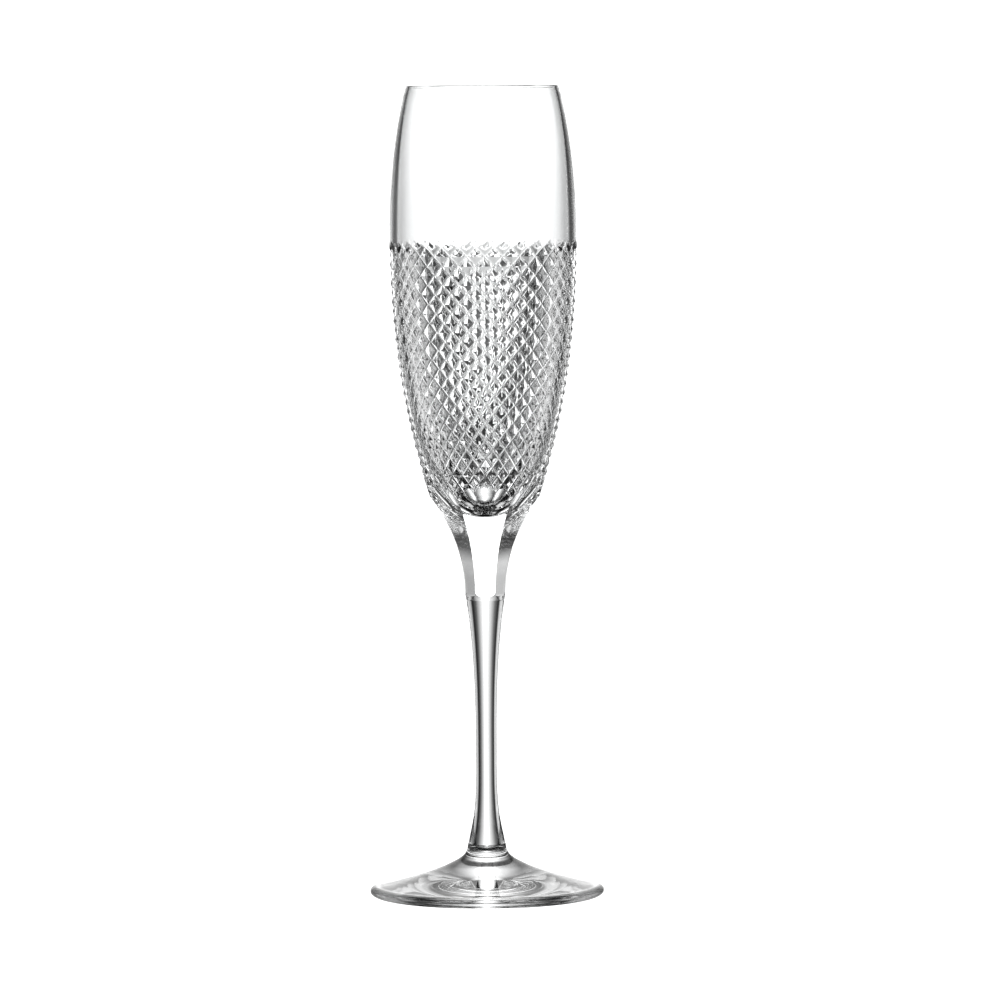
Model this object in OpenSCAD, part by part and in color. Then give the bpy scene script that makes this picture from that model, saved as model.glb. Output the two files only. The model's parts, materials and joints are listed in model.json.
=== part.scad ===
// Cut crystal champagne flute: a blown bowl, a drawn stem and a pressed foot, welded hot.
// Millimetres. +Z is up, and the origin is the middle of the foot's resting plane.

/* [Bowl] */
// Height of the bowl, from its weld on the stem to the rim
bowl_h = 142; // [115:0.5:175]
// Outside diameter of the rim
rim_d = 47; // [38:0.5:57]
// Inward lean of the rim, as radius lost per millimetre of height
rim_lean = 0.24; // [0.1:0.01:0.35]
// Largest outside diameter of the bowl
belly_d = 57.6; // [48:0.2:70]
// Height of the largest diameter above the weld
belly_h = 94.5; // [78:0.5:108]
// Outside diameter of the lower bowl, where it turns in towards the base
shoulder_d = 47.8; // [40:0.2:50]
// Height of the lower bowl's turn above the weld
shoulder_h = 42; // [36:0.5:52]
// Outside diameter of the base of the bowl, at the tops of the panels
base_d = 34; // [30:0.2:38]
// Height of the base of the bowl above the weld
base_h = 16; // [14:0.5:20]
// Thickness of the wall at the rim
rim_wall = 1.1; // [0.8:0.1:1.6]
// Thickness of the wall at the largest diameter
belly_wall = 2.4; // [1.8:0.1:3.2]
// Thickness of the wall at the lower bowl's turn
shoulder_wall = 3.2; // [2.4:0.1:4.2]
// Thickness of solid glass between the weld and the inside of the bowl
floor_t = 11; // [9:0.5:13]

/* [Stem] */
// Length of the stem, from its weld on the foot to its weld on the bowl
stem_h = 93.5; // [75:0.5:120]
// Diameter of the stem at its waist
waist_d = 6.4; // [5:0.1:8]
// Height of the waist above the weld on the foot
waist_h = 32.5; // [26:0.5:40]
// Diameter of the weld between the stem and the foot
foot_weld_d = 12.2; // [10:0.1:15]
// Swell of the stem's radius at the top of its lower flare, over the waist
flare_swell = 0.65; // [0.4:0.05:1]
// Height of the lower flare above the weld on the foot
flare_h = 11.5; // [9:0.5:14]
// Diameter of the weld between the stem and the bowl, before the panels are cut
bowl_weld_d = 19.6; // [16.4:0.1:22]

/* [Panels] */
// Number of flat panels cut round the base of the bowl and the top of the stem
panels = 6; // [5:1:8]
// Reach of the wheel below the weld
panel_drop = 18; // [14:0.5:21]
// Diameter of the stem at the lowest reach of the wheel
panel_foot_d = 11.3; // [9.8:0.1:13.6]
// Depth of the flat of each panel under the stem there
panel_bite = 0.25; // [0.2:0.01:0.4]
// Radius of the cutting wheel
wheel_r = 54; // [44:1:66]
// Radius of the wheel's worn edge, which rounds the lower end of each panel
wheel_edge_r = 3.5; // [2.8:0.1:4.4]

/* [Foot] */
// Diameter of the foot
foot_d = 72.4; // [60:0.2:88]
// Height of the weld on the stem above the resting plane
foot_h = 14.5; // [12:0.5:18]
// Thickness of the foot's rounded edge
edge_t = 3.4; // [2.6:0.1:4.2]
// Width of the foot's edge rounding
edge_round = 2.6; // [1.8:0.1:3.4]
// Width of the flat ring that the foot rests on
ring_w = 3; // [2:0.5:5]
// Depth of the hollow ground under the foot
hollow = 1.2; // [0.6:0.1:1.8]
// Diameter at which the foot's boss runs out into its skirt
boss_d = 25; // [20:0.5:30]
// Height of the skirt at the edge of the boss
boss_h = 9.6; // [7.5:0.1:11.5]

/* [Hidden] */

round_fn = 96;
curve_steps = 9;
glass = [0.86, 0.9, 0.92, 0.55];

bowl_z = foot_h + stem_h;
rim_z = bowl_z + bowl_h;
floor_z = bowl_z + floor_t;
panel_foot_z = bowl_z - panel_drop;
panel_flat_r = panel_foot_d / 2 - panel_bite;
panel_wheel_z = panel_foot_z + wheel_edge_r;
panel_cut_w = 2 * belly_d;
panel_cut_out = max(belly_d, panel_flat_r + wheel_r) + 1;

// Slopes of the outline, as radius gained per millimetre of height.
foot_weld_slope = -0.18;
flare_slope = -0.12;
panel_foot_slope = 0.145;
bowl_weld_slope = 0.38;
base_slope = 0.34;
shoulder_slope = 0.2;

// Each station of the outline is [height, radius, slope].
stem_line = [
    [foot_h, foot_weld_d / 2, foot_weld_slope],
    [foot_h + flare_h, waist_d / 2 + flare_swell, flare_slope],
    [foot_h + waist_h, waist_d / 2, 0],
    [panel_foot_z, panel_foot_d / 2, panel_foot_slope],
    [bowl_z, bowl_weld_d / 2, bowl_weld_slope]
];
bowl_line = [
    [bowl_z, bowl_weld_d / 2, bowl_weld_slope],
    [bowl_z + base_h, base_d / 2, base_slope],
    [bowl_z + shoulder_h, shoulder_d / 2, shoulder_slope],
    [bowl_z + belly_h, belly_d / 2, 0],
    [rim_z, rim_d / 2, -rim_lean]
];
cavity_line = [
    [bowl_z + shoulder_h, shoulder_d / 2 - shoulder_wall, shoulder_slope],
    [bowl_z + belly_h, belly_d / 2 - belly_wall, 0],
    [rim_z, rim_d / 2 - rim_wall, -rim_lean]
];

// Radius at a share t of the way from station a to station b, on a smooth cubic.
function swell(a, b, t) =
    (2 * t ^ 3 - 3 * t ^ 2 + 1) * a[1] + (3 * t ^ 2 - 2 * t ^ 3) * b[1]
    + ((t ^ 3 - 2 * t ^ 2 + t) * a[2] + (t ^ 3 - t ^ 2) * b[2]) * (b[0] - a[0]);

// Points [radius, height] along a line of stations, ending with its last station.
function along(line) = [
    for (i = [0 : len(line) - 2]) for (s = [0 : curve_steps - 1])
        let (t = s / curve_steps)
            [swell(line[i], line[i + 1], t), line[i][0] + t * (line[i + 1][0] - line[i][0])],
    [line[len(line) - 1][1], line[len(line) - 1][0]]
];

// Points of a cubic curve from a to d that leaves towards b and arrives from c.
function curve(a, b, c, d) = [
    for (s = [0 : curve_steps])
        let (t = s / curve_steps, u = 1 - t)
            u ^ 3 * a + 3 * u ^ 2 * t * b + 3 * u * t ^ 2 * c + t ^ 3 * d
];

// Points of an elliptical arc about a centre, from one angle to another.
function arc(centre, rx, ry, from, to) = [
    for (s = [0 : curve_steps])
        let (a = from + (to - from) * s / curve_steps)
            centre + [rx * cos(a), ry * sin(a)]
];

function reversed(points) = [for (i = [len(points) - 1 : -1 : 0]) points[i]];

// The points of a list without its first.
function tail(points) = [for (i = [1 : len(points) - 1]) points[i]];

// Points of a list without its last.
function head(points) = [for (i = [0 : len(points) - 2]) points[i]];

// Inside of the bowl below its turn: a round floor that meets the wall without a corner.
function cavity_floor() =
    let (
        turn = cavity_line[0],
        rise = 0.4 * (turn[0] - floor_z)
    )
    curve([0, floor_z], [0.55 * turn[1], floor_z],
          [turn[1] - turn[2] * rise, turn[0] - rise], [turn[1], turn[0]]);

// One panel cut, as the wheel leaves it: the cut lies on +X, and its profile is in X and Z.
module panel_cut() {
    wheel_top = asin(min(1, 0.75 * bowl_h / wheel_r));
    sweep = [
        for (s = [0 : 2 * curve_steps])
            let (a = wheel_top * (1 - s / (2 * curve_steps)))
                [panel_flat_r + wheel_r * (1 - cos(a)), panel_wheel_z + wheel_r * sin(a)]
    ];
    edge = arc([panel_flat_r + wheel_edge_r, panel_wheel_z], wheel_edge_r, wheel_edge_r, 180, 270);
    outside = [
        [panel_cut_out, panel_foot_z],
        [panel_cut_out, panel_wheel_z + wheel_r * sin(wheel_top)]
    ];
    rotate([90, 0, 0])
        linear_extrude(height = panel_cut_w, center = true)
            polygon(concat(sweep, tail(edge), outside));
}

module panel_cuts() {
    for (i = [0 : panels - 1])
        rotate([0, 0, 360 * i / panels - 90])
            panel_cut();
}

// A body turned about the glass's axis from an outline of [radius, height] points.
module turned(points) {
    rotate_extrude($fn = round_fn)
        polygon(points);
}

module bowl() {
    lip = arc([(rim_d - rim_wall) / 2, rim_z - rim_wall / 2], rim_wall / 2, rim_wall / 2, 0, 180);
    color(glass)
        difference() {
            turned(concat(
                [[0, bowl_z]],
                head(along(bowl_line)),
                lip,
                tail(reversed(along(cavity_line))),
                tail(reversed(cavity_floor()))
            ));
            panel_cuts();
        }
}

module stem() {
    color(glass)
        difference() {
            turned(concat([[0, foot_h]], along(stem_line), [[0, bowl_z]]));
            panel_cuts();
        }
}

module foot() {
    edge_r = foot_d / 2 - edge_round;
    ring_r = edge_r - ring_w;
    weld_r = foot_weld_d / 2;
    boss_r = boss_d / 2;
    boss_fall = 0.45 * (foot_h - boss_h);
    skirt_run = 0.34 * (edge_r - boss_r);
    dome = curve([ring_r, 0], [ring_r * 0.7, hollow * 0.6], [ring_r * 0.35, hollow], [0, hollow]);
    edge = arc([edge_r, edge_t / 2], edge_round, edge_t / 2, -90, 90);
    skirt = curve([edge_r, edge_t], [edge_r - skirt_run, edge_t + 0.2 * skirt_run],
                  [boss_r + skirt_run, boss_h - 0.42 * skirt_run], [boss_r, boss_h]);
    boss = curve([boss_r, boss_h], [boss_r - 0.62 * (boss_r - weld_r), boss_h + 0.4 * (foot_h - boss_h)],
                 [weld_r + 0.12 * (boss_r - weld_r), foot_h - boss_fall], [weld_r, foot_h]);
    color(glass)
        turned(concat(reversed(dome), edge, tail(skirt), tail(boss), [[0, foot_h]]));
}

bowl();
stem();
foot();
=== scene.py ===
"""A cut crystal champagne flute on a pale table: its visible glass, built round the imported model.

Everything is in metres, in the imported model's own frame: +Z is up and the glass's axis is the Z axis.
Each of the three pieces of glass is turned from an outline of a few stations, cut where the cutter's
wheels cut it, and joined to its neighbour at a weld face that light passes straight through.
"""

from __future__ import annotations

import json
import logging
import math
from dataclasses import dataclass
from enum import Enum

import bpy
import numpy as np
from mathutils import Euler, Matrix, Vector

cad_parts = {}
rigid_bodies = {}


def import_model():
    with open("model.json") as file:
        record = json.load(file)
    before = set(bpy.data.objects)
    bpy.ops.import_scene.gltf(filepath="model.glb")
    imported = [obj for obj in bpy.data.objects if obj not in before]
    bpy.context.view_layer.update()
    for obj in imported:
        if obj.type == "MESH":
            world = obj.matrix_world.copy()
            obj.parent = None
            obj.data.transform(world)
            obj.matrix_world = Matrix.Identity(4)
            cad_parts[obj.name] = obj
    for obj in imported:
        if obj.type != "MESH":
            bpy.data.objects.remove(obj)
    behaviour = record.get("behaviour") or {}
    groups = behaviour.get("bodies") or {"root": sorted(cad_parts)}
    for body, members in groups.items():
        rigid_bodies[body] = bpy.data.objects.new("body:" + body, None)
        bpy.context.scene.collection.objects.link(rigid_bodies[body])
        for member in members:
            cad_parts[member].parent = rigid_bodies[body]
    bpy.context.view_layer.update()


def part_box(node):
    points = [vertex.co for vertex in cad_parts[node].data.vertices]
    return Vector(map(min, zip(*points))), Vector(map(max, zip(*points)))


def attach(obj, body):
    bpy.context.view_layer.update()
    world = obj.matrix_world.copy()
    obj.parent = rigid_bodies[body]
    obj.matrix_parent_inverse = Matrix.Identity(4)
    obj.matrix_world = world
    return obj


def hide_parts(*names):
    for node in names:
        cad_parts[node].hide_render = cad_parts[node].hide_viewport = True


LOG = logging.getLogger("flute")
MM = 0.001

# Half the width of the glass at each weld, and the slope of its outline at the upper one.
NECK_RADIUS = 9.8 * MM
NECK_SLOPE = 0.38
FOOT_WELD_RADIUS = 6.1 * MM

# The numbers on a bowl's points that only the cutting reads.
PATTERN = ("falling", "rising", "cut")
# Least angle between two faces that stays a crisp edge.
SHARP_EDGE = math.radians(15.5)
# Index of the weld's material on the foot, after its crystal.
WELD_SLOT = 1
# Sockets of a Mix node that mixes two colours.
MIX_SHARE, MIX_A, MIX_B, MIX_RESULT = 0, 6, 7, 2


# ---------------------------------------------------------------- outlines


@dataclass(frozen=True)
class Station:
    """A level of a turned outline.

    Attributes:
        height: Height above the table, in metres.
        radius: Radius there, in metres.
        slope: Radius gained per metre of height.
    """

    height: float
    radius: float
    slope: float


def radius_at(line: list[Station], height: float) -> float:
    """Reads a smooth outline at one height.

    Args:
        line: Stations from the lowest to the highest.
        height: Height above the table, in metres.

    Returns:
        The radius there, on the cubic between the two nearest stations.
    """
    pairs = list(zip(line, line[1:]))
    low, high = next((pair for pair in pairs if height <= pair[1].height), pairs[-1])
    span = high.height - low.height
    t = min(1.0, max(0.0, (height - low.height) / span))
    return (
        (2 * t**3 - 3 * t**2 + 1) * low.radius
        + (3 * t**2 - 2 * t**3) * high.radius
        + ((t**3 - 2 * t**2 + t) * low.slope + (t**3 - t**2) * high.slope) * span
    )


def levels(start: float, end: float, steps: int) -> list[float]:
    """Evenly spaced heights from one level to another.

    Args:
        start: The first height.
        end: The last height.
        steps: Number of steps between them.

    Returns:
        steps + 1 heights.
    """
    return [start + (end - start) * i / steps for i in range(steps + 1)]


def cubic(a: Vector, b: Vector, c: Vector, d: Vector, steps: int) -> list[Vector]:
    """Points of a cubic curve.

    Args:
        a: Where it starts.
        b: The point it leaves towards.
        c: The point it arrives from.
        d: Where it ends.
        steps: Number of pieces it is split into.

    Returns:
        steps + 1 points, from a to d.
    """
    points = []
    for i in range(steps + 1):
        t = i / steps
        u = 1 - t
        points.append(u**3 * a + 3 * u**2 * t * b + 3 * u * t**2 * c + t**3 * d)
    return points


def arc(centre: Vector, rx: float, ry: float, start: float, end: float, steps: int) -> list[Vector]:
    """Points of an elliptical arc.

    Args:
        centre: Middle of the ellipse, as radius and height.
        rx: Half its width.
        ry: Half its height.
        start: First angle in degrees, where 0 points away from the axis and 90 points up.
        end: Last angle in degrees.
        steps: Number of pieces it is split into.

    Returns:
        steps + 1 points.
    """
    angles = [math.radians(start + (end - start) * i / steps) for i in range(steps + 1)]
    return [centre + Vector((rx * math.cos(a), ry * math.sin(a))) for a in angles]


# ---------------------------------------------------------------- meshes and trees


def placed(name: str, data: bpy.types.ID) -> bpy.types.Object:
    """Makes an object of a mesh or a camera and puts it in the scene.

    Args:
        name: Name of the object.
        data: Its mesh or its camera.

    Returns:
        The object, at the origin.
    """
    obj = bpy.data.objects.new(name, data)
    bpy.context.scene.collection.objects.link(obj)
    return obj


def add_math(
    tree: bpy.types.NodeTree,
    operation: str,
    a: bpy.types.NodeSocket | float,
    b: bpy.types.NodeSocket | float | None = None,
) -> bpy.types.NodeSocket:
    """Adds a Math node to a tree.

    Args:
        tree: The tree.
        operation: Blender's name of the operation.
        a: First operand.
        b: Second operand, where the operation has one.

    Returns:
        The node's result.
    """
    node = tree.nodes.new("ShaderNodeMath")
    node.operation = operation
    for socket, value in zip(node.inputs, (a, b)):
        if isinstance(value, bpy.types.NodeSocket):
            tree.links.new(value, socket)
        elif value is not None:
            socket.default_value = value
    return node.outputs[0]


class Turning:
    """A solid turned round the Z axis, built ring by ring from its underside to its top."""

    def __init__(self, columns: int, phase: float = 0.0, across: int = 1) -> None:
        """Starts an empty solid.

        Args:
            columns: Number of faces round the axis.
            phase: Angle of the first column of points, in radians.
            across: Faces across half a diamond, where the solid is cut.
        """
        self.columns = columns
        self.across = across
        self.angles = phase + np.arange(columns) * (2 * math.pi / columns)
        self.rings: list[tuple[float, float]] = []
        self.rows: list[float] = []

    def ring(self, radius: float, height: float, row: float = math.nan) -> None:
        """Adds a ring of points.

        Args:
            radius: Radius of the ring. A ring of no radius closes the solid at a pole.
            height: Height of the ring.
            row: Half-row of the diamond pattern that the ring lies on, where it is cut.
        """
        self.rings.append((radius, height))
        self.rows.append(row)

    def mesh(self, name: str) -> bpy.types.Mesh:
        """Builds the closed mesh, with its quads split along the nearest groove where it is cut.

        Args:
            name: Name of the mesh.

        Returns:
            A mesh whose faces point outwards.
        """
        n = self.columns
        verts: list[tuple[float, float, float]] = []
        starts: list[int] = []
        for radius, height in self.rings:
            starts.append(len(verts))
            if radius == 0:
                verts.append((0.0, 0.0, height))
                continue
            xs = radius * np.cos(self.angles)
            ys = radius * np.sin(self.angles)
            verts.extend(zip(xs.tolist(), ys.tolist(), [height] * n))
        faces: list[tuple[int, ...]] = []
        for i in range(len(self.rings) - 1):
            low, high = starts[i], starts[i + 1]
            low_pole, high_pole = self.rings[i][0] == 0, self.rings[i + 1][0] == 0
            cut = not (math.isnan(self.rows[i]) or math.isnan(self.rows[i + 1]))
            for c in range(n):
                d = (c + 1) % n
                if low_pole:
                    faces.append((low, high + d, high + c))
                elif high_pole:
                    faces.append((low + c, low + d, high))
                elif cut:
                    faces.extend(self._split(i, c, low, high))
                else:
                    faces.append((low + c, low + d, high + d, high + c))
        mesh = bpy.data.meshes.new(name)
        mesh.from_pydata(verts, [], faces)
        return mesh

    def _split(self, i: int, c: int, low: int, high: int) -> list[tuple[int, int, int]]:
        """Splits one quad of the cut band along the groove family that runs nearest to it.

        Args:
            i: Index of the quad's lower ring.
            c: Its first column.
            low: First point of the lower ring.
            high: First point of the upper ring.

        Returns:
            Two triangles.
        """
        d = (c + 1) % self.columns
        across = (c + 0.5) / self.across
        down = (self.rows[i] + self.rows[i + 1]) / 2
        falling, rising = (across - down) / 2, (across + down) / 2
        if abs(falling - round(falling)) < abs(rising - round(rising)):
            return [(low + c, low + d, high + c), (low + d, high + d, high + c)]
        return [(low + c, low + d, high + d), (low + c, high + d, high + c)]


def set_points(mesh: bpy.types.Mesh, name: str, values: np.ndarray) -> None:
    """Stores a number on every point of a mesh.

    Args:
        mesh: The mesh.
        name: Name of the attribute.
        values: One number for each point.
    """
    layer = mesh.attributes.new(name, "FLOAT", "POINT")
    layer.data.foreach_set("value", values.astype(np.float32))


# ---------------------------------------------------------------- diamond cutting


@dataclass(frozen=True)
class DiamondBand:
    """The band of pointed diamonds that two crossing families of spiral grooves leave.

    Attributes:
        around: Diamonds in one ring.
        top: Height of the highest crossings.
        phase: Angle of one of those crossings round the axis, in degrees.
        pitch_top: Height of half a diamond at the top of the band.
        pitch_low: Height of half a diamond at the bottom of the band.
        half_rows: Half-diamonds from the top of the band to its bottom.
        depth: Depth of a groove under the uncut surface.
        valley: Share of a groove's half width that its rounded bottom takes.
        run_out: Half-rows above the highest crossings where the grooves begin.
        run_in: Half-rows below the highest crossings where the grooves reach their full depth.
        fade: Half-rows over which the grooves run out again at the bottom.
        steps: Faces across half a diamond.
    """

    around: int = 32
    top: float = 201.0 * MM
    phase: float = -83.15
    pitch_top: float = 2.95 * MM
    pitch_low: float = 2.6 * MM
    half_rows: int = 29
    depth: float = 1.0 * MM
    valley: float = 0.17
    run_out: float = 0.4
    run_in: float = 1.2
    fade: float = 4.5
    steps: int = 6

    def share(self, row: float) -> float:
        """Depth of the grooves at a half-row, as a share of their full depth."""
        entry = min(1.0, max(0.0, (row + self.run_out) / (self.run_in + self.run_out)))
        leave = min(1.0, (self.half_rows - row) / self.fade)
        return min(1 - (1 - entry) ** 2, leave)

    def height(self, row: float) -> float:
        """Height of a half-row of the pattern, counted down from the top of the band."""
        closing = (self.pitch_top - self.pitch_low) / (2 * self.half_rows)
        return self.top - self.pitch_top * row + closing * row * row


class GrooveTree:
    """The Geometry Nodes tree that cuts the grooves and the panels and dresses the glass.

    Attributes:
        NEAR: How close to a weld's height a face must lie to be part of the weld.
    """

    NEAR = 0.01 * MM

    def __init__(self, name: str) -> None:
        """Builds the tree.

        Args:
            name: Name of the node group.
        """
        self.tree = bpy.data.node_groups.new(name, "GeometryNodeTree")
        self.ids: dict[str, str] = {}
        self._socket("Geometry", "NodeSocketGeometry", "INPUT")
        self._socket("Groove Depth", "NodeSocketFloat", "INPUT")
        self._socket("Valley", "NodeSocketFloat", "INPUT")
        self._socket("Panel Body", "NodeSocketObject", "INPUT")
        self._socket("Low Weld", "NodeSocketFloat", "INPUT")
        self._socket("High Weld", "NodeSocketFloat", "INPUT")
        self._socket("Crystal", "NodeSocketMaterial", "INPUT")
        self._socket("Weld", "NodeSocketMaterial", "INPUT")
        self._socket("Geometry", "NodeSocketGeometry", "OUTPUT")
        self._build()

    def _socket(self, name: str, kind: str, side: str) -> None:
        """Adds a socket to the tree and remembers an input's identifier.

        Args:
            name: Name of the socket.
            kind: Blender's socket type.
            side: INPUT or OUTPUT.
        """
        socket = self.tree.interface.new_socket(name, in_out=side, socket_type=kind)
        if side == "INPUT":
            self.ids[name] = socket.identifier

    def _math(
        self,
        operation: str,
        a: bpy.types.NodeSocket | float,
        b: bpy.types.NodeSocket | float | None = None,
    ) -> bpy.types.NodeSocket:
        """Adds a Math node to this tree."""
        return add_math(self.tree, operation, a, b)

    def _attribute(self, name: str) -> bpy.types.NodeSocket:
        """Reads a number stored on the points."""
        node = self.tree.nodes.new("GeometryNodeInputNamedAttribute")
        node.data_type = "FLOAT"
        node.inputs["Name"].default_value = name
        return node.outputs["Attribute"]

    def _rise(self, name: str) -> bpy.types.NodeSocket:
        """Height of a groove's wall: 0 on a groove of one family and 1 half way to the next."""
        return self._math("MULTIPLY", self._math("PINGPONG", self._attribute(name), 0.5), 2.0)

    def _squared(self, value: bpy.types.NodeSocket) -> bpy.types.NodeSocket:
        """Multiplies a number by itself."""
        return self._math("MULTIPLY", value, value)

    def _blend(
        self, share: bpy.types.NodeSocket, a: bpy.types.NodeSocket, b: bpy.types.NodeSocket
    ) -> bpy.types.NodeSocket:
        """Goes from one number to another.

        Args:
            share: 0 gives the first number and 1 gives the second.
            a: The first number.
            b: The second number.

        Returns:
            The number between.
        """
        return self._math("ADD", a, self._math("MULTIPLY", share, self._math("SUBTRACT", b, a)))

    def _dig(self, valley: bpy.types.NodeSocket) -> bpy.types.NodeSocket:
        """Depth of the cutting as a share of a groove's depth.

        Args:
            valley: Share of a groove's half width that its rounded bottom takes.

        Returns:
            1 would be the sharp bottom of a groove, and 0 is the uncut surface.
        """
        rise = self._math("MINIMUM", self._rise("falling"), self._rise("rising"))
        bottom = self._math("ADD", self._squared(rise), self._squared(valley))
        bottom = self._math("DIVIDE", bottom, self._math("MULTIPLY", valley, 2.0))
        rounded = self._blend(self._math("LESS_THAN", rise, valley), rise, bottom)
        return self._math("MAXIMUM", self._math("SUBTRACT", self._attribute("cut"), rounded), 0.0)

    def _on_weld(self, height: bpy.types.NodeSocket, level: bpy.types.NodeSocket) -> bpy.types.NodeSocket:
        """Picks the flat faces at a weld's height.

        Args:
            height: Height of each face.
            level: Height of the weld.

        Returns:
            A selection of faces.
        """
        near = self.tree.nodes.new("FunctionNodeCompare")
        near.data_type = "FLOAT"
        near.operation = "EQUAL"
        self.tree.links.new(height, near.inputs["A"])
        self.tree.links.new(level, near.inputs["B"])
        near.inputs["Epsilon"].default_value = self.NEAR
        return near.outputs["Result"]

    def _build(self) -> None:
        """Wires the tree: grooves, then panels, then the two materials."""
        nodes, links = self.tree.nodes, self.tree.links
        source = nodes.new("NodeGroupInput")
        sink = nodes.new("NodeGroupOutput")
        dig = self._dig(source.outputs["Valley"])
        inward = self._math("MULTIPLY", dig, source.outputs["Groove Depth"])
        inward = self._math("MULTIPLY", inward, -1.0)
        normal = nodes.new("GeometryNodeInputNormal")
        shift = nodes.new("ShaderNodeVectorMath")
        shift.operation = "SCALE"
        links.new(normal.outputs["Normal"], shift.inputs[0])
        links.new(inward, shift.inputs["Scale"])
        move = nodes.new("GeometryNodeSetPosition")
        links.new(source.outputs["Geometry"], move.inputs["Geometry"])
        links.new(shift.outputs["Vector"], move.inputs["Offset"])
        body = nodes.new("GeometryNodeObjectInfo")
        links.new(source.outputs["Panel Body"], body.inputs["Object"])
        common = nodes.new("GeometryNodeMeshBoolean")
        common.operation = "INTERSECT"
        common.solver = "MANIFOLD"
        links.new(move.outputs["Geometry"], common.inputs["Mesh 2"])
        links.new(body.outputs["Geometry"], common.inputs["Mesh 2"])
        place = nodes.new("GeometryNodeInputPosition")
        split = nodes.new("ShaderNodeSeparateXYZ")
        links.new(place.outputs["Position"], split.inputs[0])
        welds = self._math(
            "MAXIMUM",
            self._on_weld(split.outputs["Z"], source.outputs["Low Weld"]),
            self._on_weld(split.outputs["Z"], source.outputs["High Weld"]),
        )
        real = nodes.new("GeometryNodeRealizeInstances")
        links.new(common.outputs["Mesh"], real.inputs["Geometry"])
        glass = nodes.new("GeometryNodeSetMaterial")
        links.new(real.outputs["Geometry"], glass.inputs["Geometry"])
        links.new(source.outputs["Crystal"], glass.inputs["Material"])
        weld = nodes.new("GeometryNodeSetMaterial")
        links.new(glass.outputs["Geometry"], weld.inputs["Geometry"])
        links.new(welds, weld.inputs["Selection"])
        links.new(source.outputs["Weld"], weld.inputs["Material"])
        links.new(weld.outputs["Geometry"], sink.inputs["Geometry"])

    def cut(self, obj: bpy.types.Object, values: dict[str, object]) -> bpy.types.Object:
        """Runs the tree on an object and keeps the result as a plain mesh.

        Args:
            obj: The uncut glass. It is removed.
            values: A value for each of the tree's inputs, by name.

        Returns:
            A new object of the same name that holds the cut glass.
        """
        name = obj.name
        modifier = obj.modifiers.new("cutting", "NODES")
        modifier.node_group = self.tree
        for key, value in values.items():
            modifier[self.ids[key]] = value
        bpy.context.view_layer.update()
        graph = bpy.context.evaluated_depsgraph_get()
        mesh = bpy.data.meshes.new_from_object(obj.evaluated_get(graph), depsgraph=graph)
        bpy.data.objects.remove(obj)
        mesh.name = name
        return placed(name, mesh)


@dataclass(frozen=True)
class PanelWheel:
    """The wheel that grinds the flat panels, and the body that it leaves between them.

    Attributes:
        count: Panels round the glass.
        facing: Angle of one panel's middle round the axis, in degrees.
        foot: Lowest height that the wheel reaches on the stem.
        flat: Least distance from the axis to a panel.
        radius: Radius of the wheel.
        edge: Radius of the wheel's worn edge, which rounds a panel's lower end.
        lead: Distance from there down to where the body is at its widest again.
        reach: Distance from the axis that clears every part of the glass.
        bottom: Height that clears the table.
        top: Height that clears the rim.
        edge_steps: Faces along the worn edge.
        sweep_steps: Faces along the wheel's own curve.
    """

    count: int = 6
    facing: float = -90.0
    foot: float = 90.0 * MM
    flat: float = 5.4 * MM
    radius: float = 54.0 * MM
    edge: float = 3.5 * MM
    lead: float = 0.3 * MM
    reach: float = 57.0 * MM
    bottom: float = -10.0 * MM
    top: float = 260.0 * MM
    edge_steps: int = 10
    sweep_steps: int = 64

    def profile(self) -> list[Vector]:
        """Distance of the panels from the axis and height, from below the table to above the rim."""
        level = self.foot + self.edge
        points = [Vector((self.reach, self.bottom)), Vector((self.reach, self.foot - self.lead))]
        points.append(Vector((self.flat + self.edge, self.foot)))
        worn = Vector((self.flat + self.edge, level))
        points += arc(worn, self.edge, self.edge, 270, 180, self.edge_steps)[1:]
        swing = math.degrees(math.acos(1 - (self.reach - self.flat) / self.radius))
        hub = Vector((self.flat + self.radius, level))
        points += arc(hub, self.radius, self.radius, 180, 180 - swing, self.sweep_steps)[1:]
        points.append(Vector((self.reach, self.top)))
        return points

    def body(self, name: str) -> bpy.types.Object:
        """Builds the closed body that lies inside all the panels.

        Args:
            name: Name of the object.

        Returns:
            The object.
        """
        half = math.pi / self.count
        outline = self.profile()
        verts: list[Vector] = [Vector((0, 0, outline[0].y))]
        for point in outline:
            corner = point.x / math.cos(half)
            for i in range(self.count):
                angle = math.radians(self.facing) + half * (2 * i + 1)
                verts.append(Vector((corner * math.cos(angle), corner * math.sin(angle), point.y)))
        verts.append(Vector((0, 0, outline[-1].y)))
        last = len(verts) - 1
        top = last - self.count
        faces: list[tuple[int, ...]] = []
        for i in range(self.count):
            j = (i + 1) % self.count
            faces.append((0, 1 + j, 1 + i))
            faces.append((last, top + i, top + j))
            for k in range(len(outline) - 1):
                low, high = 1 + k * self.count, 1 + (k + 1) * self.count
                faces.append((low + i, low + j, high + j, high + i))
        mesh = bpy.data.meshes.new(name)
        mesh.from_pydata([tuple(v) for v in verts], [], faces)
        return placed(name, mesh)


# ---------------------------------------------------------------- finishes


class Marks(Enum):
    """How a surface of glass was worked, as the stretch of its faint marks along X, Y and Z."""

    BLOWN = (60.0, 60.0, 14.0)
    DRAWN = (220.0, 220.0, 12.0)
    SPUN = (40.0, 40.0, 40.0)


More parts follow.
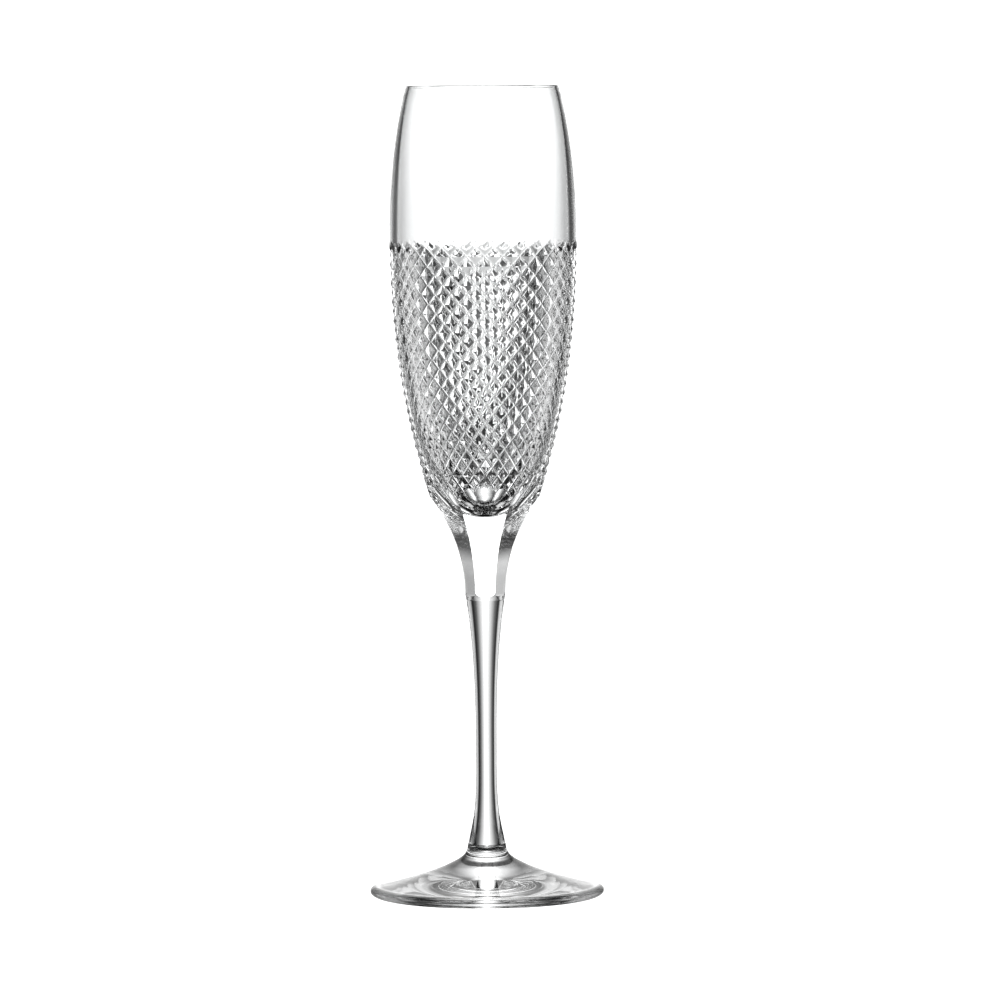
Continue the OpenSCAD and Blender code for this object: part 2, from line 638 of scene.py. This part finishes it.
class MarksGroup:
    """A shader node group: the faint waves and polish marks of hand-worked glass.

    Attributes:
        WAVE_DETAIL: Finer waves laid over the first.
        WAVE_ROUGHNESS: Strength of those finer waves.
        GRAIN_SCALE: Polish marks in a metre.
        GRAIN_DETAIL: Finer marks laid over the first.
        HAZE_FROM: Share of the grain below which the glass is perfectly clear.
        HAZE_TO: Share of the grain at which the haze is full.
        HAZE: Roughness of the full haze.
    """

    WAVE_DETAIL = 1.5
    WAVE_ROUGHNESS = 0.4
    GRAIN_SCALE = 900.0
    GRAIN_DETAIL = 2.0
    HAZE_FROM = 0.45
    HAZE_TO = 0.8
    HAZE = 0.02

    def __init__(self) -> None:
        """Builds the group, with inputs Stretch and Grain and outputs Height and Haze."""
        self.tree = bpy.data.node_groups.new("glass_marks", "ShaderNodeTree")
        face = self.tree.interface
        face.new_socket("Stretch", in_out="INPUT", socket_type="NodeSocketVector")
        face.new_socket("Grain", in_out="INPUT", socket_type="NodeSocketFloat")
        face.new_socket("Height", in_out="OUTPUT", socket_type="NodeSocketFloat")
        face.new_socket("Haze", in_out="OUTPUT", socket_type="NodeSocketFloat")
        nodes, links = self.tree.nodes, self.tree.links
        source = nodes.new("NodeGroupInput")
        sink = nodes.new("NodeGroupOutput")
        place = nodes.new("ShaderNodeTexCoord")
        stretch = nodes.new("ShaderNodeVectorMath")
        stretch.operation = "MULTIPLY"
        links.new(place.outputs["Object"], stretch.inputs[0])
        links.new(source.outputs["Stretch"], stretch.inputs[1])
        waves = nodes.new("ShaderNodeTexNoise")
        waves.inputs["Scale"].default_value = 1.0
        waves.inputs["Detail"].default_value = self.WAVE_DETAIL
        waves.inputs["Roughness"].default_value = self.WAVE_ROUGHNESS
        links.new(stretch.outputs["Vector"], waves.inputs["Vector"])
        grain = nodes.new("ShaderNodeTexNoise")
        grain.inputs["Scale"].default_value = self.GRAIN_SCALE
        grain.inputs["Detail"].default_value = self.GRAIN_DETAIL
        links.new(place.outputs["Object"], grain.inputs["Vector"])
        fine = add_math(self.tree, "MULTIPLY", grain.outputs["Fac"], source.outputs["Grain"])
        total = add_math(self.tree, "ADD", waves.outputs["Fac"], fine)
        haze = nodes.new("ShaderNodeMapRange")
        haze.inputs["From Min"].default_value = self.HAZE_FROM
        haze.inputs["From Max"].default_value = self.HAZE_TO
        haze.inputs["To Min"].default_value = 0.0
        haze.inputs["To Max"].default_value = self.HAZE
        links.new(grain.outputs["Fac"], haze.inputs["Value"])
        links.new(total, sink.inputs["Height"])
        links.new(haze.outputs["Result"], sink.inputs["Haze"])


@dataclass(frozen=True)
class CrystalFinish:
    """Clear crystal, with the marks that its working left.

    Attributes:
        name: Name of the material.
        marks: How the surface was worked.
        wave: Height of the waves, in metres.
        grain: Height of the polish marks, as a share of the waves.
        tint: Colour that the glass lets through.
        bend: Refractive index.
    """

    name: str
    marks: Marks
    wave: float
    grain: float = 0.02
    tint: tuple[float, float, float] = (0.985, 0.99, 0.992)
    bend: float = 1.54

    def material(self, marks: MarksGroup) -> bpy.types.Material:
        """Builds the material.

        Args:
            marks: The shared group of marks.

        Returns:
            The material.
        """
        material = bpy.data.materials.new(self.name)
        material.use_nodes = True
        nodes, links = material.node_tree.nodes, material.node_tree.links
        shader = nodes["Principled BSDF"]
        shader.inputs["Base Color"].default_value = (*self.tint, 1.0)
        shader.inputs["Transmission Weight"].default_value = 1.0
        shader.inputs["Metallic"].default_value = 0.0
        shader.inputs["IOR"].default_value = self.bend
        group = nodes.new("ShaderNodeGroup")
        group.node_tree = marks.tree
        group.inputs["Stretch"].default_value = self.marks.value
        group.inputs["Grain"].default_value = self.grain
        bump = nodes.new("ShaderNodeBump")
        bump.inputs["Strength"].default_value = 1.0
        bump.inputs["Distance"].default_value = self.wave
        links.new(group.outputs["Height"], bump.inputs["Height"])
        links.new(bump.outputs["Normal"], shader.inputs["Normal"])
        links.new(group.outputs["Haze"], shader.inputs["Roughness"])
        return material


@dataclass(frozen=True)
class WeldFinish:
    """A weld face: fused glass, which nothing shows of.

    Attributes:
        name: Name of the material.
    """

    name: str = "fused_weld"

    def material(self) -> bpy.types.Material:
        """Builds the material."""
        material = bpy.data.materials.new(self.name)
        material.use_nodes = True
        shader = material.node_tree.nodes["Principled BSDF"]
        shader.inputs["Alpha"].default_value = 0.0
        return material


# ---------------------------------------------------------------- pieces


@dataclass
class Workshop:
    """What the pieces share.

    Attributes:
        tree: The cutting tree.
        panel_body: The body that lies inside all the panels.
        marks: The marks of hand-worked glass.
        weld: The material of the weld faces.
    """

    tree: GrooveTree
    panel_body: bpy.types.Object
    marks: MarksGroup
    weld: bpy.types.Material

    def finish(self, obj: bpy.types.Object, node: str, slot: str) -> bpy.types.Object:
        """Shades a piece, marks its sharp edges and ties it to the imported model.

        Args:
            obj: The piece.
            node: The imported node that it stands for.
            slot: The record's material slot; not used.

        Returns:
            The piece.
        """
        mesh = obj.data
        mesh.shade_smooth()
        mesh.set_sharp_from_angle(angle=SHARP_EDGE)
        for number in PATTERN:
            if number in mesh.attributes:
                mesh.attributes.remove(mesh.attributes[number])
        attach(obj, "root")
        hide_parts(node)
        LOG.info("%s: %d points, %d faces", obj.name, len(mesh.vertices), len(mesh.polygons))
        return obj


@dataclass
class Bowl:
    """The blown bowl, with its diamond band and the upper part of its panels.

    Attributes:
        band: The diamond band.
        weld_z: Height of its weld on the stem.
        rim_z: Height of the rim.
        belly: Largest radius.
        belly_up: Height of the largest radius above the weld.
        rim: Radius of the rim.
        rim_lean: Inward lean of the rim.
        shoulder: Radius where the lower bowl turns in towards its base.
        shoulder_up: Height of that turn above the weld.
        shoulder_slope: Slope of the outline there.
        base: Radius of the base of the bowl.
        base_up: Height of the base above the weld.
        base_slope: Slope of the outline there.
        rim_wall: Thickness of the wall at the rim.
        belly_wall: Thickness of the wall at the largest radius.
        shoulder_wall: Thickness of the wall at the lower bowl's turn.
        floor: Solid glass between the weld and the inside.
        floor_rise: Share of the floor's height over which it straightens into the wall.
        floor_flat: Share of the floor's width over which it stays level.
        base_rings: Levels from the weld to the band.
        clear_rings: Levels from the band to the lip.
        lip_steps: Faces over the lip.
        inside_rings: Levels down the inside of the wall.
        floor_steps: Faces from the wall to the middle of the floor.
    """

    band: DiamondBand
    weld_z: float
    rim_z: float
    belly: float
    belly_up: float = 94.5 * MM
    rim: float = 23.5 * MM
    rim_lean: float = 0.24
    shoulder: float = 23.9 * MM
    shoulder_up: float = 42.0 * MM
    shoulder_slope: float = 0.2
    base: float = 17.0 * MM
    base_up: float = 16.0 * MM
    base_slope: float = 0.34
    rim_wall: float = 1.1 * MM
    belly_wall: float = 2.4 * MM
    shoulder_wall: float = 3.2 * MM
    floor: float = 11.0 * MM
    floor_rise: float = 0.4
    floor_flat: float = 0.55
    base_rings: int = 10
    clear_rings: int = 20
    lip_steps: int = 12
    inside_rings: int = 22
    floor_steps: int = 14

    def outside(self) -> list[Station]:
        """Stations of the uncut outside, from the weld to the rim."""
        return [
            Station(self.weld_z, NECK_RADIUS, NECK_SLOPE),
            Station(self.weld_z + self.base_up, self.base, self.base_slope),
            Station(self.weld_z + self.shoulder_up, self.shoulder, self.shoulder_slope),
            Station(self.weld_z + self.belly_up, self.belly, 0.0),
            Station(self.rim_z, self.rim, -self.rim_lean),
        ]

    def inside(self) -> list[Station]:
        """Stations of the inside, from the turn of the floor to the rim."""
        turn = self.weld_z + self.shoulder_up
        return [
            Station(turn, self.shoulder - self.shoulder_wall, self.shoulder_slope),
            Station(self.weld_z + self.belly_up, self.belly - self.belly_wall, 0.0),
            Station(self.rim_z, self.rim - self.rim_wall, -self.rim_lean),
        ]

    def floor_curve(self) -> list[Vector]:
        """The round floor of the bowl, as radius and height from the axis to where it meets the wall."""
        turn = self.inside()[0]
        bottom = self.weld_z + self.floor
        rise = self.floor_rise * (turn.height - bottom)
        return cubic(
            Vector((0, bottom)),
            Vector((self.floor_flat * turn.radius, bottom)),
            Vector((turn.radius - turn.slope * rise, turn.height - rise)),
            Vector((turn.radius, turn.height)),
            self.floor_steps,
        )

    def blank(self, name: str) -> bpy.types.Object:
        """Builds the uncut bowl, with the places of the grooves stored on its points.

        Args:
            name: Name of the object.

        Returns:
            The object.
        """
        band = self.band
        turning = Turning(band.around * 2 * band.steps, math.radians(band.phase), band.steps)
        outside, inside = self.outside(), self.inside()
        band_low = band.height(band.half_rows)
        turning.ring(0, self.weld_z)
        for z in levels(self.weld_z, band_low, self.base_rings)[:-1]:
            turning.ring(radius_at(outside, z), z)
        over = math.ceil(band.run_out * band.steps)
        for i in range(band.half_rows * band.steps, -over - 1, -1):
            row = i / band.steps
            z = band.height(row)
            turning.ring(radius_at(outside, z), z, row)
        band_top = band.height(-over / band.steps)
        lip_z = self.rim_z - self.rim_wall / 2
        for z in levels(band_top, lip_z, self.clear_rings)[1:-1]:
            turning.ring(radius_at(outside, z), z)
        lip = Vector((self.rim - self.rim_wall / 2, lip_z))
        for point in arc(lip, self.rim_wall / 2, self.rim_wall / 2, 0, 180, self.lip_steps):
            turning.ring(point.x, point.y)
        for z in levels(lip_z, inside[0].height, self.inside_rings)[1:]:
            turning.ring(radius_at(inside, z), z)
        for point in reversed(self.floor_curve()[1:-1]):
            turning.ring(point.x, point.y)
        turning.ring(0, self.weld_z + self.floor)
        mesh = turning.mesh(name)
        self._mark_grooves(mesh, turning)
        return placed(name, mesh)

    def _mark_grooves(self, mesh: bpy.types.Mesh, turning: Turning) -> None:
        """Stores on each point its place across both families of grooves, and how deep they are.

        Args:
            mesh: The uncut bowl.
            turning: The rings that it was built from.
        """
        band = self.band
        falling, rising, cut = [], [], []
        across = np.arange(turning.columns) / band.steps
        for (radius, _), row in zip(turning.rings, turning.rows):
            count = 1 if radius == 0 else turning.columns
            if math.isnan(row):
                falling += [0.0] * count
                rising += [0.0] * count
                cut += [0.0] * count
                continue
            falling += ((across - row) / 2).tolist()
            rising += ((across + row) / 2).tolist()
            cut += [band.share(row)] * count
        for number, values in zip(PATTERN, (falling, rising, cut)):
            set_points(mesh, number, np.array(values))

    def build(self, shop: Workshop, finish: CrystalFinish) -> bpy.types.Object:
        """Makes the bowl.

        Args:
            shop: What the pieces share.
            finish: Its finish.

        Returns:
            The piece.
        """
        piece = shop.tree.cut(
            self.blank("cut_bowl"),
            {
                "Groove Depth": self.band.depth,
                "Valley": self.band.valley,
                "Panel Body": shop.panel_body,
                "Low Weld": self.weld_z,
                "High Weld": self.weld_z,
                "Crystal": finish.material(shop.marks),
                "Weld": shop.weld,
            },
        )
        return shop.finish(piece, "bowl", "bowl_crystal")


@dataclass
class Stem:
    """The drawn stem, with the lower part of the panels cut into its top.

    Attributes:
        low_z: Height of its weld on the foot.
        high_z: Height of its weld on the bowl.
        low_slope: Slope of the outline at its weld on the foot.
        flare: Radius at the top of the lower flare.
        flare_up: Height of that above the foot.
        flare_slope: Slope of the outline there.
        waist: Least radius.
        waist_up: Height of the waist above the foot.
        panel_foot: Radius at the lower ends of the panels.
        panel_foot_up: Height of those ends above the foot.
        panel_foot_slope: Slope of the outline there.
        columns: Faces round the axis.
        rings: Levels from weld to weld.
    """

    low_z: float
    high_z: float
    low_slope: float = -0.18
    flare: float = 3.85 * MM
    flare_up: float = 11.5 * MM
    flare_slope: float = -0.12
    waist: float = 3.2 * MM
    waist_up: float = 32.5 * MM
    panel_foot: float = 5.65 * MM
    panel_foot_up: float = 75.5 * MM
    panel_foot_slope: float = 0.145
    columns: int = 192
    rings: int = 110

    def outside(self) -> list[Station]:
        """Stations of the outline, from the foot to the bowl."""
        return [
            Station(self.low_z, FOOT_WELD_RADIUS, self.low_slope),
            Station(self.low_z + self.flare_up, self.flare, self.flare_slope),
            Station(self.low_z + self.waist_up, self.waist, 0.0),
            Station(self.low_z + self.panel_foot_up, self.panel_foot, self.panel_foot_slope),
            Station(self.high_z, NECK_RADIUS, NECK_SLOPE),
        ]

    def build(self, shop: Workshop, finish: CrystalFinish) -> bpy.types.Object:
        """Makes the stem.

        Args:
            shop: What the pieces share.
            finish: Its finish.

        Returns:
            The piece.
        """
        turning = Turning(self.columns)
        line = self.outside()
        turning.ring(0, self.low_z)
        for z in levels(self.low_z, self.high_z, self.rings):
            turning.ring(radius_at(line, z), z)
        turning.ring(0, self.high_z)
        piece = shop.tree.cut(
            placed("drawn_stem", turning.mesh("drawn_stem")),
            {
                "Groove Depth": 0.0,
                "Valley": 1.0,
                "Panel Body": shop.panel_body,
                "Low Weld": self.low_z,
                "High Weld": self.high_z,
                "Crystal": finish.material(shop.marks),
                "Weld": shop.weld,
            },
        )
        return shop.finish(piece, "stem", "stem_crystal")


@dataclass
class Foot:
    """The foot: a spun disc with a raised boss, a rounded edge and a hollow ground underneath.

    Attributes:
        radius: Radius of its edge.
        weld_z: Height of its weld on the stem.
        edge_t: Thickness of its edge.
        edge_round: Width of the edge's rounding.
        ring: Width of the ring that it rests on.
        hollow: Depth of the hollow inside that ring.
        hollow_flat: Share of the hollow's radius over which it stays level.
        hollow_turn: Where the hollow turns down to the ring, as shares of its radius and depth.
        boss: Radius at which the boss runs out into the skirt.
        boss_z: Height of the skirt there.
        boss_turn: How the boss leaves the skirt, as shares of its width and height.
        weld_turn: How the boss arrives at the weld, as shares of its width and height.
        skirt_run: Share of the skirt's width over which each of its ends keeps its slope.
        edge_slope: Rise of the skirt at the edge, over its run.
        boss_slope: Rise of the skirt at the boss, over its run.
        columns: Faces round the axis.
        steps: Faces along the hollow, the edge, the skirt and the boss.
    """

    radius: float
    weld_z: float
    edge_t: float = 3.4 * MM
    edge_round: float = 2.6 * MM
    ring: float = 3.0 * MM
    hollow: float = 1.2 * MM
    hollow_flat: float = 0.35
    hollow_turn: tuple[float, float] = (0.7, 0.6)
    boss: float = 12.5 * MM
    boss_z: float = 9.6 * MM
    boss_turn: tuple[float, float] = (0.62, 0.4)
    weld_turn: tuple[float, float] = (0.12, 0.45)
    skirt_run: float = 0.34
    edge_slope: float = 0.2
    boss_slope: float = 0.42
    columns: int = 192
    steps: tuple[int, int, int, int] = (20, 24, 30, 24)

    def outline(self) -> list[Vector]:
        """Points from the middle of the underside, round the edge, to the weld."""
        hollow_steps, edge_steps, skirt_steps, boss_steps = self.steps
        edge = self.radius - self.edge_round
        ring = edge - self.ring
        run = self.skirt_run * (edge - self.boss)
        rise = self.weld_z - self.boss_z
        wide = self.boss - FOOT_WELD_RADIUS
        points = cubic(
            Vector((0, self.hollow)),
            Vector((self.hollow_flat * ring, self.hollow)),
            Vector((self.hollow_turn[0] * ring, self.hollow_turn[1] * self.hollow)),
            Vector((ring, 0)),
            hollow_steps,
        )
        points += arc(Vector((edge, self.edge_t / 2)), self.edge_round, self.edge_t / 2, -90, 90, edge_steps)
        points += cubic(
            Vector((edge, self.edge_t)),
            Vector((edge - run, self.edge_t + self.edge_slope * run)),
            Vector((self.boss + run, self.boss_z - self.boss_slope * run)),
            Vector((self.boss, self.boss_z)),
            skirt_steps,
        )[1:]
        points += cubic(
            Vector((self.boss, self.boss_z)),
            Vector((self.boss - self.boss_turn[0] * wide, self.boss_z + self.boss_turn[1] * rise)),
            Vector((FOOT_WELD_RADIUS + self.weld_turn[0] * wide, self.weld_z - self.weld_turn[1] * rise)),
            Vector((FOOT_WELD_RADIUS, self.weld_z)),
            boss_steps,
        )[1:]
        return points

    def build(self, shop: Workshop, finish: CrystalFinish) -> bpy.types.Object:
        """Makes the foot.

        Args:
            shop: What the pieces share.
            finish: Its finish.

        Returns:
            The piece.
        """
        turning = Turning(self.columns)
        for point in self.outline():
            turning.ring(point.x, point.y)
        turning.ring(0, self.weld_z)
        mesh = turning.mesh("spun_foot")
        mesh.materials.append(finish.material(shop.marks))
        mesh.materials.append(shop.weld)
        for polygon in mesh.polygons[-self.columns :]:
            polygon.material_index = WELD_SLOT
        return shop.finish(placed("spun_foot", mesh), "foot", "foot_crystal")


# ---------------------------------------------------------------- studio


Stops = tuple[tuple[float, float], ...]


@dataclass(frozen=True)
class Light:
    """A soft light, as strengths over the angle round the glass and over the angle above the table.

    Attributes:
        around: Degrees from straight behind the glass, rightwards, and strengths there.
        up: Degrees above the horizon, and shares of those strengths.
    """

    around: Stops
    up: Stops


@dataclass
class Studio:
    """The pale table, the soft light all round and the camera.

    Attributes:
        distance: From the glass's axis to the camera.
        eye: Height of the camera.
        tilt: How far the camera looks down, in degrees.
        roll: Turn of the camera about its own line of sight, in degrees.
        aside: Shift of the camera to the right.
        lens: Focal length, in millimetres.
        sensor: Width of the camera's sensor, in millimetres.
        clip: Nearest and farthest distance that the camera sees.
        table_reach: Distance from the glass to each side of the table.
        table_grey: Grey of the table top, which mostly glows.
        table_roughness: Roughness of the table top.
        middle: Height on the glass that the table's glow is seen from.
        white: The plain white round the glass.
        turns: Most turns that light may take, and most of them through glass.
        glints: Most turns at a shiny surface, and most through a weld.
        stops: Exposure.
        contrast: Under 1, how crisp the print is.
        dark: Glow of the dark parts of the room.
        backdrop: The white wall behind the glass.
        strips: The strip lights beside the glass.
        slits: The narrower lights between them and the backdrop.
        bend: The sides of the bend where the backdrop runs into the ceiling.
        ceiling: The white ceiling.
        rear: The softer walls on both sides of the camera.
    """

    distance: float = 2.024
    eye: float = 0.25
    tilt: float = 3.606
    roll: float = -0.36
    aside: float = 0.0047
    lens: float = 237.0
    sensor: float = 36.0
    clip: tuple[float, float] = (0.05, 50.0)
    table_reach: float = 4.0
    table_grey: float = 0.02
    table_roughness: float = 0.9
    middle: float = 0.12
    white: float = 1.02
    turns: int = 32
    glints: int = 24
    stops: float = 0.35
    contrast: float = 0.83
    dark: float = 0.01
    backdrop: Light = Light(
        around=(
            (-40, 0), (-31, 0.05), (-22, 0.2), (-13, 0.6), (-8, 0.8), (-4, 1.2), (0, 1.7),
            (4, 1.2), (8, 0.8), (13, 0.55), (22, 0.15), (31, 0.03), (40, 0),
        ),
        up=((-42, 0), (-35, 0.4), (-30, 0.9), (-20, 1), (60, 1), (66, 0)),
    )
    strips: Light = Light(
        around=(
            (-112, 0), (-104, 0.06), (-86, 0.08), (-78, 0.6), (-58, 0.6), (-52, 0),
            (52, 0), (58, 0.6), (78, 0.6), (86, 0.08), (104, 0.06), (112, 0),
        ),
        up=((-40, 0), (-35, 0.4), (-28, 1), (8, 1), (22, 0.4), (40, 0.2), (50, 0)),
    )
    slits: Light = Light(
        around=((-60, 0), (-53, 0.6), (-44, 0.6), (-36, 0), (36, 0), (44, 0.45), (53, 0.45), (60, 0)),
        up=((-40, 0), (-34, 1), (12, 1), (22, 0)),
    )
    bend: Light = Light(
        around=((-42, 0), (-30, 0.45), (-16, 0.5), (0, 0.2), (16, 0.45), (30, 0.35), (42, 0)),
        up=((30, 0), (40, 1), (60, 1), (68, 0)),
    )
    ceiling: Light = Light(around=((0, 1),), up=((56, 0), (66, 1.8), (90, 1.8)))
    rear: Light = Light(
        around=(
            (-158, 0), (-148, 0.6), (-122, 0.6), (-112, 0), (112, 0), (122, 0.6), (148, 0.6), (158, 0),
        ),
        up=((-32, 0), (-24, 1), (4, 1), (14, 0)),
    )

    def camera(self) -> bpy.types.Object:
        """Sets up the camera."""
        data = bpy.data.cameras.new("camera")
        data.lens = self.lens
        data.sensor_width = self.sensor
        data.clip_start, data.clip_end = self.clip
        obj = placed("camera", data)
        obj.location = (self.aside, -self.distance, self.eye)
        look = Euler((math.radians(90 - self.tilt), 0, 0)).to_matrix()
        turn = Euler((0, 0, math.radians(self.roll))).to_matrix()
        obj.rotation_euler = (look @ turn).to_euler()
        bpy.context.scene.camera = obj
        return obj

    def table(self, glow: bpy.types.NodeTree) -> bpy.types.Object:
        """Lays the pale table top.

        Args:
            glow: The studio's glow, which the table gives back to the glass.

        Returns:
            The table.
        """
        mesh = bpy.data.meshes.new("table_top")
        reach = self.table_reach
        mesh.from_pydata(
            [(-reach, -reach, 0), (reach, -reach, 0), (reach, reach, 0), (-reach, reach, 0)],
            [],
            [(0, 1, 2, 3)],
        )
        obj = placed("table_top", mesh)
        material = bpy.data.materials.new("pale_table")
        material.use_nodes = True
        nodes, links = material.node_tree.nodes, material.node_tree.links
        shader = nodes["Principled BSDF"]
        shader.inputs["Base Color"].default_value = (self.table_grey, self.table_grey, self.table_grey, 1)
        shader.inputs["Roughness"].default_value = self.table_roughness
        shader.inputs["Emission Strength"].default_value = 1.0
        place = nodes.new("ShaderNodeTexCoord")
        lower = nodes.new("ShaderNodeVectorMath")
        lower.operation = "SUBTRACT"
        lower.inputs[1].default_value = (0, 0, self.middle)
        links.new(place.outputs["Object"], lower.inputs[0])
        group = nodes.new("ShaderNodeGroup")
        group.node_tree = glow
        links.new(lower.outputs["Vector"], group.inputs["Direction"])
        links.new(self._plain_for_camera(material.node_tree, group), shader.inputs["Emission Color"])
        mesh.materials.append(material)
        obj.visible_glossy = False
        obj.visible_transmission = False
        return obj

    def _plain_for_camera(self, tree: bpy.types.NodeTree, group: bpy.types.Node) -> bpy.types.NodeSocket:
        """Shows plain white where nothing stands before the camera, and the studio's glow elsewhere.

        Args:
            tree: The material's or the world's tree.
            group: The node that gives the glow.

        Returns:
            A colour.
        """
        sight = tree.nodes.new("ShaderNodeLightPath")
        seen = tree.nodes.new("ShaderNodeMix")
        seen.data_type = "RGBA"
        tree.links.new(sight.outputs["Is Camera Ray"], seen.inputs[MIX_SHARE])
        tree.links.new(group.outputs["Glow"], seen.inputs[MIX_A])
        seen.inputs[MIX_B].default_value = (self.white, self.white, self.white, 1)
        return seen.outputs[MIX_RESULT]

    def glow(self) -> bpy.types.NodeTree:
        """Builds the studio's glow as a node group that adds up all the lights.

        Returns:
            A group with the input Direction and the output Glow.
        """
        tree = bpy.data.node_groups.new("studio_glow", "ShaderNodeTree")
        tree.interface.new_socket("Direction", in_out="INPUT", socket_type="NodeSocketVector")
        tree.interface.new_socket("Glow", in_out="OUTPUT", socket_type="NodeSocketColor")
        nodes, links = tree.nodes, tree.links
        source = nodes.new("NodeGroupInput")
        sink = nodes.new("NodeGroupOutput")
        unit = nodes.new("ShaderNodeVectorMath")
        unit.operation = "NORMALIZE"
        links.new(source.outputs["Direction"], unit.inputs[0])
        split = nodes.new("ShaderNodeSeparateXYZ")
        links.new(unit.outputs["Vector"], split.inputs[0])
        around = add_math(tree, "ARCTAN2", split.outputs["X"], split.outputs["Y"])
        up = add_math(tree, "ARCSINE", split.outputs["Z"])
        parts = []
        for light in (self.backdrop, self.strips, self.slits, self.bend, self.ceiling, self.rear):
            side = self._falloff(tree, around, 180.0, light.around)
            rise = self._falloff(tree, up, 90.0, light.up)
            parts.append(add_math(tree, "MULTIPLY", side, rise))
        total = parts[0]
        for part in (*parts[1:], self.dark):
            total = add_math(tree, "ADD", total, part)
        links.new(total, sink.inputs["Glow"])
        return tree

    def _falloff(
        self, tree: bpy.types.NodeTree, angle: bpy.types.NodeSocket, reach: float, stops: Stops
    ) -> bpy.types.NodeSocket:
        """Adds a ramp over an angle to a tree.

        Args:
            tree: The tree.
            angle: The angle, in radians.
            reach: Largest angle in degrees, at the ramp's two ends.
            stops: Degrees and strengths along the ramp.

        Returns:
            The strength.
        """
        share = tree.nodes.new("ShaderNodeMapRange")
        share.inputs["From Min"].default_value = math.radians(-reach)
        share.inputs["From Max"].default_value = math.radians(reach)
        tree.links.new(angle, share.inputs["Value"])
        ramp = tree.nodes.new("ShaderNodeValToRGB")
        ramp.color_ramp.interpolation = "LINEAR"
        elements = ramp.color_ramp.elements
        elements.remove(elements[-1])
        for i, (degrees, value) in enumerate(stops):
            element = elements[0] if i == 0 else elements.new(1.0)
            element.position = (degrees + reach) / (2 * reach)
            element.color = (value, value, value, 1)
        tree.links.new(share.outputs["Result"], ramp.inputs["Fac"])
        return ramp.outputs["Color"]

    def light(self, glow: bpy.types.NodeTree) -> None:
        """Lights the room with the studio's glow.

        Args:
            glow: The glow.
        """
        world = bpy.data.worlds.new("studio")
        bpy.context.scene.world = world
        world.use_nodes = True
        nodes, links = world.node_tree.nodes, world.node_tree.links
        place = nodes.new("ShaderNodeTexCoord")
        group = nodes.new("ShaderNodeGroup")
        group.node_tree = glow
        links.new(place.outputs["Generated"], group.inputs["Direction"])
        seen = self._plain_for_camera(world.node_tree, group)
        links.new(seen, nodes["Background"].inputs["Color"])

    def exposure(self) -> None:
        """Sets a crisp print, and lets light follow the many turns it takes inside cut glass."""
        scene = bpy.context.scene
        scene.view_settings.view_transform = "Standard"
        scene.view_settings.exposure = self.stops
        scene.view_settings.gamma = self.contrast
        scene.cycles.max_bounces = self.turns
        scene.cycles.transmission_bounces = self.turns
        scene.cycles.glossy_bounces = self.glints
        scene.cycles.transparent_max_bounces = self.glints


# ---------------------------------------------------------------- the whole glass


def main() -> None:
    """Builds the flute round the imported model, and its studio."""
    logging.basicConfig(level=logging.INFO, format="%(name)s: %(message)s")
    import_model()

    studio = Studio()
    studio.camera()
    glow = studio.glow()
    studio.table(glow)
    studio.light(glow)
    studio.exposure()

    bowl_low, bowl_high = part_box("bowl")
    foot_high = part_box("foot")[1]
    shop = Workshop(
        tree=GrooveTree("crystal_cutting"),
        panel_body=PanelWheel().body("panel_body"),
        marks=MarksGroup(),
        weld=WeldFinish().material(),
    )
    bowl = Bowl(DiamondBand(), bowl_low.z, bowl_high.z, bowl_high.x)
    bowl.build(shop, CrystalFinish("blown_crystal", Marks.BLOWN, wave=0.02 * MM))
    stem = Stem(foot_high.z, bowl_low.z)
    stem.build(shop, CrystalFinish("drawn_crystal", Marks.DRAWN, wave=0.01 * MM))
    foot = Foot(foot_high.x, foot_high.z)
    foot.build(shop, CrystalFinish("spun_crystal", Marks.SPUN, wave=0.02 * MM))
    bpy.data.objects.remove(shop.panel_body)


if __name__ == "__main__":
    main()
